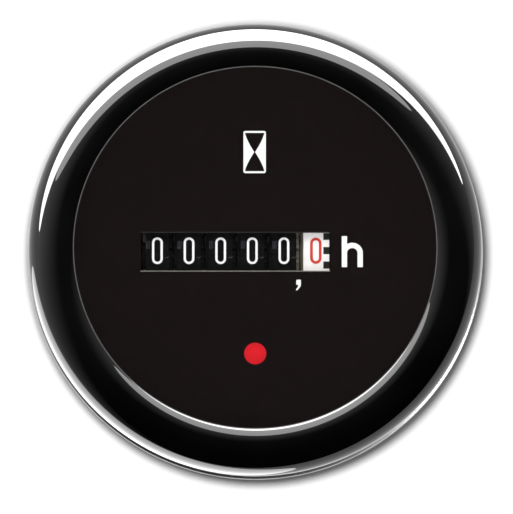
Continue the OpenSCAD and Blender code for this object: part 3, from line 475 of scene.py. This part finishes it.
def bezel_profile():
    """Closed section of the bezel: skirt with a small bottom fillet, shoulder and crown arcs, pockets."""
    foot = 0.15
    skirt = arc((BEZEL_R - foot, BEZEL_BACK + foot), foot, foot, -90, 0, 8)
    shoulder = arc((CREST_R, BEZEL_TOP - SHOULDER_R), SHOULDER_R, SHOULDER_R, 0, 90, 64)
    lean = math.degrees(math.asin((CREST_R - VIEW_R) / CROWN_R))
    crown = arc((CREST_R, BEZEL_TOP - CROWN_R), CROWN_R, CROWN_R, 90, 90 + lean, 32)[1:]
    pockets = np.array([
        (VIEW_R, GLASS_FRONT), (GLASS_POCKET_R, GLASS_FRONT), (GLASS_POCKET_R, FLANGE_POCKET[1]),
        (FLANGE_POCKET_R, FLANGE_POCKET[1]), (FLANGE_POCKET_R, FLANGE_POCKET[0]), (HOOK_R, FLANGE_POCKET[0]),
        (HOOK_R, BEZEL_BACK),
    ])
    return np.concatenate([skirt, shoulder, crown, pockets])


bezel = piece("bezel_skin", [lathe(bezel_profile(), 480)], "bezel_black", "meter_body")
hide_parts("bezel")


def rim_profile():
    """Closed section of the rim ring: a round bead on the edge of a flat ring."""
    bead = arc(RIM_BEAD_AT, RIM_BEAD_R, RIM_BEAD_R, -150, 150, 28)
    return np.concatenate([bead, [(HOOK_R, bead[-1, 1]), (HOOK_R, bead[0, 1])]])


rim = piece("rim_skin", [lathe(rim_profile(), 360)], "rim_metal", "meter_body")
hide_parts("rim_ring")

# Painted highlight: a thin matte grey ring on the glossy black bezel's inner lip stands in for the light
# caught by the lip's edge.
LIP_OUT = BEZEL_TOP - CROWN_R + math.sqrt(CROWN_R**2 - (CREST_R - VIEW_R) ** 2)
piece(
    "lip_line", [lathe(arc((VIEW_R + 0.03, LIP_OUT - 0.03), 0.085, 0.085, 0, 360, 17)[:-1], 360)],
    "lip_grey", "meter_body",
)

# Dial print

PRINT = (-0.01, 0.03)
LAYER = 0.004


def letter_h():
    """Stem, and an arch that runs over half an ellipse into the right leg."""
    width, stem_x, leg_x, foot, head = 0.68, 11.44, 13.46, -2.21, 1.77
    arch = arc(((stem_x + leg_x) / 2, -0.38), (leg_x - stem_x) / 2, 0.96, 180, 0, 25)
    leg = run(arch[-1], (leg_x, foot))
    return [
        on_dial(stroke(run((stem_x, foot), (stem_x, head)), width, *PRINT, False)),
        on_dial(stroke(np.concatenate([arch[:-1], leg]), width, PRINT[0], PRINT[1] - LAYER, False)),
    ]


def comma():
    """A square dot whose right edge sweeps into a tail: left and right edges given row by row."""
    up = np.array([-3.84, -4.16, -4.48, -4.5, -4.62, -4.76, -4.9, -5.04, -5.16, -5.23])
    left = np.array([5.28, 5.27, 5.27, 5.52, 5.51, 5.46, 5.37, 5.24, 5.26, 5.31])
    right = np.array([5.85, 5.86, 5.86, 5.86, 5.83, 5.77, 5.66, 5.53, 5.4, 5.34])
    return [on_dial(slab(left, right, up, *PRINT))]


def hourglass():
    """A rounded frame whose sides swell in to a waist: half width of the glass is 1 - (1 - s)^1.35 of the
    full one, with s from the waist to an end."""
    mid, half_w, half_h, bar, corner = (-0.07, 12.61), 1.44, 2.72, 0.25, 0.25
    rows = np.linspace(-1, 1, 61) * (half_h - bar)
    waist = 0.05 + (half_w - 0.25) * (1 - (1 - np.abs(rows) / (half_h - bar)) ** 1.35)
    edge = np.full_like(rows, half_w)
    sides = [
        slab(mid[0] - edge, mid[0] - waist, mid[1] + rows, *PRINT),
        slab(mid[0] + waist, mid[0] + edge, mid[1] + rows, *PRINT),
    ]
    rise = np.linspace(half_h - bar, half_h, 14)
    into = np.clip(rise - (half_h - corner), 0, corner)
    end = half_w - corner + np.sqrt(corner**2 - into**2)
    bars = [slab(mid[0] - end, mid[0] + end, mid[1] + s * rise, *PRINT) for s in (-1, 1)]
    return [on_dial(c) for c in sides + bars]


piece("dial_letter_h", letter_h(), "print_white", "meter_body")
piece("dial_comma", comma(), "print_white", "meter_body")
piece("dial_hourglass", hourglass(), "print_white", "meter_body")

WINDOW_SIDES = (-14.6, 9.5)
WINDOW_EDGES = (-2.705, 2.325)


def window_edge(up):
    """A thin bar along the bevel at the top or bottom of the counter window, coloured as painted light: a
    bright painted highlight on the sill, which faces up, and a faint painted highlight on the head, which
    faces down.
    """
    line = run((WINDOW_SIDES[0] - 0.1, up), (WINDOW_SIDES[1] + 0.1, up), step=2.0)
    return [on_dial(stroke(line, 0.12, -0.16, 0.004, False))]


# Painted light on the window's bevel: the sill's light grey is a painted highlight, the head's dim grey a
# fainter painted highlight.
piece("window_sill", window_edge(WINDOW_EDGES[0] - 0.02), "sill_grey", "meter_body")
piece("window_head", window_edge(WINDOW_EDGES[1] - 0.05), "head_grey", "meter_body")

# Number wheels


def digit_paths(half_w, half_h):
    """Centre lines of the digits in a box of the given half width and half height: lines and elliptic
    arcs, each with its loop flag."""
    end = half_h - half_w
    oval = np.concatenate([
        arc((0, end), half_w, half_w, 0, 180, 21)[:-1], run((-half_w, end), (-half_w, -end))[:-1],
        arc((0, -end), half_w, half_w, 180, 360, 21)[:-1], run((half_w, -end), (half_w, end))[:-1],
    ])
    six_bowl = arc((0, 0.895 - half_h), half_w, 0.895, 0, 360, 41)[:-1]
    six_back = arc((0.42, 0.895 - half_h), half_w + 0.42, 2 * half_h - 0.895, 180, 90, 22)
    two = np.concatenate([
        arc((0, end), half_w, half_w, 175, -30, 22),
        run((0.78 * half_w, 0.45), (-half_w, -half_h), (half_w, -half_h)),
    ])
    three = np.concatenate([
        arc((0, half_h / 2), 0.94 * half_w, half_h / 2, 150, -90, 26),
        arc((0, -half_h / 2), half_w, half_h / 2, 90, -150, 26)[1:],
    ])
    five = np.concatenate([
        run((0.86 * half_w, half_h), (-0.78 * half_w, half_h), (-0.87 * half_w, 0.2))[:-1],
        arc((0, 0.995 - half_h), half_w, 0.995, 118, -150, 28),
    ])
    eight_top = arc((0, half_h - 0.775), 0.88 * half_w, 0.775, 0, 360, 37)[:-1]
    lower_h = (2 * half_h - 1.55) / 2
    eight_foot = arc((0, half_h - 1.55 - lower_h), half_w, lower_h, 0, 360, 41)[:-1]
    return [
        [(oval, True)],
        [(run((-0.42, half_h - 0.52), (0.1, half_h), (0.1, -half_h)), False)],
        [(two, False)],
        [(three, False)],
        [(run((0.3, -half_h), (0.3, half_h), (-half_w, -0.55), (half_w, -0.55)), False)],
        [(five, False)],
        [(six_bowl, True), (six_back, False)],
        [(run((-half_w, half_h), (half_w, half_h), (-0.12, -half_h)), False)],
        [(eight_top, True), (eight_foot, True)],
        [(-six_bowl, True), (-six_back, False)],
    ]


DIGITS = digit_paths(0.545, 1.58)
TENTHS_DIGITS = digit_paths(0.56, 1.52)
WHEEL_AXIS = (0.0, WHEEL_AXIS_OUT)


def wheel_digits(x, width, digits):
    """Ten digits round a wheel, one each 36 degrees, the next higher one below."""
    return [
        on_roller(stroke(path, width, -0.01, 0.025 - LAYER * i, loop), x, -36 * k, WHEEL_R, WHEEL_AXIS, loop)
        for k, paths in enumerate(digits)
        for i, (path, loop) in enumerate(paths)
    ]


def wheel_glint_ribs(x):
    """Low grey ribs left of each digit: a painted glint of the gear teeth between the wheels."""
    ribs = [((-1.42 + 0.2 * i, 0.28), (-1.42 + 0.2 * i, 1.22), 0.09) for i in range(3)]
    bars = [((-1.47, s), (-0.97, s), 0.07) for s in (0.3, 1.2)]
    return [
        on_roller(stroke(run(p, q), w, -0.01, 0.02 - LAYER * (i > 2), False), x, -36 * k, WHEEL_R, WHEEL_AXIS)
        for k in range(10)
        for i, (p, q, w) in enumerate(ribs + bars)
    ]


def wheel_glint_ticks(x):
    """A short grey tick right of each digit: a painted glint from between the wheels."""
    tick = stroke(run((0.98, -0.9), (1.5, -0.86)), 0.09, -0.01, 0.02, False)
    return [
        on_roller(tick, x, -36 * k, WHEEL_R, WHEEL_AXIS)
        for k in range(10)
    ]


WHEELS = ("ten_thousands", "thousands", "hundreds", "tens", "units")
# Each wheel carries its printed digits, plus grey marks and ticks that are painted glints.
for k, name in enumerate(WHEELS):
    x = FIRST_WHEEL_X + k * WHEEL_PITCH
    piece(name + "_digits", wheel_digits(x, 0.29, DIGITS), "print_white", name + "_wheel_body")
    piece(name + "_marks", wheel_glint_ribs(x), "mark_grey", name + "_wheel_body")
    piece(name + "_ticks", wheel_glint_ticks(x), "tick_grey", name + "_wheel_body")

TENTHS_X = 7.78
TRACK = (8.74, 9.56)
TRACK_SQUARES = 24


def tenths_track():
    """Black squares round the tenths wheel's right edge, each half of its pitch long."""
    half = math.pi * WHEEL_R / TRACK_SQUARES / 2
    rows = np.linspace(-half, half, 7)
    square = slab(np.full(7, TRACK[0]), np.full(7, TRACK[1]), rows, -0.01, 0.02)
    return [
        on_roller(square, 0.0, 360 / TRACK_SQUARES * k, WHEEL_R, WHEEL_AXIS) for k in range(TRACK_SQUARES)
    ]


piece("tenths_digits", wheel_digits(TENTHS_X, 0.36, TENTHS_DIGITS), "print_red", "tenths_group")
piece("tenths_track", tenths_track(), "print_black", "tenths_group")


def drum_bands():
    """Four dark bands round the indicator drum, each an eighth of a turn, red behind the hole at rest."""
    half = math.pi * DRUM_R / 8
    rows = np.linspace(-half, half, 25)
    band = slab(np.full(25, -DRUM_HALF_W), np.full(25, DRUM_HALF_W), rows, -0.02, 0.02)
    return [on_roller(band, 0.0, 41 + 90 * k, DRUM_R, DRUM_AXIS) for k in range(4)]


piece("drum_bands", drum_bands(), "drum_dark", "indicator_group")


def barrel_thread():
    """A right-handed ridge along the barrel: a trapezium carried along a helix that fades in and out at
    its ends."""
    start, end = -3.6, -33.2
    turns = (start - end) / THREAD_PITCH
    t = np.linspace(0, 1, int(turns * 120))[:, None]
    angle = 2 * np.pi * turns * t
    fade = np.clip(np.minimum(t, 1 - t) * turns * 4, 0.05, 1)
    r = BARREL_R + np.array([-0.05, 0.0, 0.0, -0.05])[None, :] + fade * np.array([0, 0.23, 0.23, 0])[None, :]
    out = start + (end - start) * t + np.array([0.65, 0.3, -0.3, -0.65])[None, :]
    return [closed_tube(placed(r * np.sin(angle), r * np.cos(angle), out), False)]


piece("barrel_thread", barrel_thread(), "housing_black", "meter_body", smooth_angle=25.0)

# Camera

# Millimetres to a pixel of the picture, the camera's distance, its height angle, and the point it faces
PX = 0.12857
DISTANCE = 1600.0
ELEVATION = -5.15
AIM = (0.167, -0.54)
FRAME_PX = 514

sight = Vector((0, math.cos(math.radians(ELEVATION)), -math.sin(math.radians(ELEVATION))))
aim = Vector((AIM[0], 0, AIM[1])) * MM
camera_data = bpy.data.cameras.new("photo_camera")
camera_data.lens = 36 * DISTANCE / (FRAME_PX * PX)
camera = bpy.data.objects.new("photo_camera", camera_data)
camera.location = aim - sight * DISTANCE * MM
camera.rotation_euler = sight.to_track_quat("-Z", "Y").to_euler()
bpy.context.scene.collection.objects.link(camera)
bpy.context.scene.camera = camera

# Backdrop, floor and lamps


def studio_white(name):
    """Matt white seen from its front only: from behind it is clear, and it blocks no lamp."""
    material = finish(name, *grey(0.88, 0.9), 6.0, (0.8, 0.9), 0.0, specular=0.0)
    tree = material.node_tree
    shader = tree.nodes["Principled BSDF"]
    output = tree.nodes["Material Output"]
    side = tree.nodes.new("ShaderNodeNewGeometry")
    path = tree.nodes.new("ShaderNodeLightPath")
    either = tree.nodes.new("ShaderNodeMath")
    either.operation = "MAXIMUM"
    through = tree.nodes.new("ShaderNodeBsdfTransparent")
    mix = tree.nodes.new("ShaderNodeMixShader")
    tree.links.new(side.outputs["Backfacing"], either.inputs[0])
    tree.links.new(path.outputs["Is Shadow Ray"], either.inputs[1])
    tree.links.new(either.outputs[0], mix.inputs["Fac"])
    tree.links.new(shader.outputs["BSDF"], mix.inputs[1])
    tree.links.new(through.outputs["BSDF"], mix.inputs[2])
    tree.links.new(mix.outputs["Shader"], output.inputs["Surface"])
    return material


def flat_sheet(name, corner, side_a, side_b):
    """A flat rectangle: corner plus shares of two sides."""
    s = np.linspace(0, 1, 5)
    points = np.array(corner) + s[:, None, None] * np.array(side_a) + s[None, :, None] * np.array(side_b)
    obj = mesh_object(name, points.reshape(-1, 3), grid_quads(5, 5, False, False))
    obj.data.materials.append(STUDIO_WHITE)
    return obj


STUDIO_WHITE = studio_white("studio_white")
WALL_Y = 0.05
FLOOR_Z = -0.3
backdrop = flat_sheet("backdrop", (-0.6, WALL_Y, FLOOR_Z), (1.2, 0, 0), (0, 0, 0.9))
floor = flat_sheet("floor", (-3, -3, FLOOR_Z), (6, 0, 0), (0, 6, 0))
floor.visible_diffuse = False
floor.visible_glossy = False


def sun(name, direction, strength, spread):
    lamp = bpy.data.lights.new(name, "SUN")
    lamp.energy = strength
    lamp.angle = math.radians(spread)
    obj = bpy.data.objects.new(name, lamp)
    obj.rotation_euler = Vector(direction).to_track_quat("-Z", "Y").to_euler()
    obj.visible_glossy = False
    obj.visible_transmission = False
    bpy.context.scene.collection.objects.link(obj)
    return obj


across = Vector((1, 0, 0))
upward = across.cross(sight)


def area_lamp(name, spot, target, size, shape, watts):
    """A flat lamp at a spot, facing a target and not mirrored by itself."""
    lamp = bpy.data.lights.new(name, "AREA")
    lamp.shape = shape
    lamp.size = size
    lamp.energy = watts
    obj = bpy.data.objects.new(name, lamp)
    obj.location = spot
    obj.rotation_euler = (target - spot).to_track_quat("-Z", "Y").to_euler()
    obj.visible_camera = False
    obj.visible_glossy = False
    obj.visible_transmission = False
    bpy.context.scene.collection.objects.link(obj)
    return obj


def light_only(lamp, objects):
    """Keeps a lamp's light to the given objects."""
    lit = bpy.data.collections.new("lit_by_" + lamp.name)
    for obj in objects:
        lit.objects.link(obj)
    lamp.light_linking.receiver_collection = lit


lamp_spot = aim - sight * 1.084 - across * 0.0078 + upward * 0.0092
area_lamp("front_lamp", lamp_spot, aim, 0.03, "DISK", 8.5)
light_only(area_lamp("wall_lamp", lamp_spot, aim, 0.03, "DISK", 4.2), [backdrop])

kicker = area_lamp("kicker", Vector((0.4, -0.2, -0.2)), Vector((0, 0, 0)), 0.15, "SQUARE", 2.0)
kicker.visible_glossy = True
light_only(kicker, [rim])

COUNTER_ENDINGS = ("_wheel", "_digits", "_marks", "_ticks", "_track")
DIAL_PRINTS = ("dial_letter_h", "dial_comma", "dial_hourglass")
counter = [
    obj for obj in bpy.data.objects
    if obj.type == "MESH" and (obj.name.endswith(COUNTER_ENDINGS) or obj.name in DIAL_PRINTS)
]
softbox = area_lamp("softbox", Vector((0, -0.38, 0.32)), Vector((0, 0, 0)), 0.25, "SQUARE", 1.3)
light_only(softbox, counter)


def light_panel(name, corner, side_a, side_b, radiance):
    """A flat oval lamp in the frame of a corner and two sides, facing away from their cross product, which
    the bezel mirrors. Its power is pi times radiance times area, and an oval has pi/4 of its frame's area."""
    lamp = bpy.data.lights.new(name, "AREA")
    lamp.shape = "ELLIPSE"
    lamp.size = side_a.length
    lamp.size_y = side_b.length
    lamp.energy = math.pi * radiance * math.pi / 4 * side_a.length * side_b.length
    obj = bpy.data.objects.new(name, lamp)
    turn = Matrix((side_a.normalized(), side_b.normalized(), side_a.cross(side_b).normalized())).transposed()
    obj.matrix_world = Matrix.Translation(corner + (side_a + side_b) / 2) @ turn.to_4x4()
    obj.visible_camera = False
    obj.visible_transmission = False
    bpy.context.scene.collection.objects.link(obj)
    light_only(obj, [bezel])


PANEL_HEIGHT = 0.12


def overhead_panel(name, clock, left, right, front, back, radiance):
    """A panel above the part, leaning to a clock angle, between two sides and a front and back edge."""
    lean = math.radians(clock)
    above = Vector((math.sin(lean), 0, math.cos(lean)))
    beside = Vector((math.cos(lean), 0, -math.sin(lean)))
    corner = above * PANEL_HEIGHT + beside * left + Vector((0, front, 0))
    light_panel(name, corner, beside * (right - left), Vector((0, back - front, 0)), radiance)


overhead_panel("top_panel", -15, -0.27, 1.0, -0.1, 0.03, 24.0)
overhead_panel("front_panel", -5, -0.22, 0.14, -0.225, -0.06, 6.0)
light_panel("low_panel", Vector((-0.22, 0.045, 0.0)), across * 0.24, Vector((0, 0, -0.22)), 4.5)
sun("rear_lamp", (-0.35, -0.8, -0.75), 1.6, 25.0)

world = bpy.data.worlds.new("studio")
bpy.context.scene.world = world
world.use_nodes = True
tree = world.node_tree
tree.nodes.clear()
surround = tree.nodes.new("ShaderNodeBackground")
surround.inputs["Strength"].default_value = 1.0
surround.inputs["Color"].default_value = (1, 1, 1, 1)
ambient = tree.nodes.new("ShaderNodeBackground")
ambient.inputs["Color"].default_value = (0.2, 0.2, 0.2, 1)
rays = tree.nodes.new("ShaderNodeLightPath")
world_out = tree.nodes.new("ShaderNodeOutputWorld")
mix = tree.nodes.new("ShaderNodeMixShader")
direction = tree.nodes.new("ShaderNodeTexCoord")
slope = tree.nodes.new("ShaderNodeVectorMath")
slope.operation = "DOT_PRODUCT"
slope.inputs[1].default_value = (-0.3, 0.6, 0.75)
tree.links.new(direction.outputs["Generated"], slope.inputs[0])
paler = tree.nodes.new("ShaderNodeMapRange")
paler.inputs["From Min"].default_value = -0.5
paler.inputs["From Max"].default_value = 0.3
tree.links.new(slope.outputs["Value"], paler.inputs["Value"])


def world_math(operation, first, second):
    node = tree.nodes.new("ShaderNodeMath")
    node.operation = operation
    for socket, value in zip(node.inputs, (first, second)):
        if isinstance(value, float):
            socket.default_value = value
        else:
            tree.links.new(value, socket)
    return node.outputs[0]


# As gloss and glass show it, the room is white above, left of and behind the part, and dark behind the
# camera.
mirrored = world_math("MAXIMUM", rays.outputs["Is Glossy Ray"], rays.outputs["Is Transmission Ray"])
shown = world_math("MULTIPLY", mirrored, paler.outputs["Result"])
seen = world_math("MAXIMUM", rays.outputs["Is Camera Ray"], shown)
tree.links.new(world_math("SUBTRACT", 1.0, mirrored), ambient.inputs["Strength"])
tree.links.new(seen, mix.inputs["Fac"])
tree.links.new(ambient.outputs[0], mix.inputs[1])
tree.links.new(surround.outputs[0], mix.inputs[2])
tree.links.new(mix.outputs["Shader"], world_out.inputs["Surface"])

bpy.context.scene.view_settings.view_transform = "Standard"
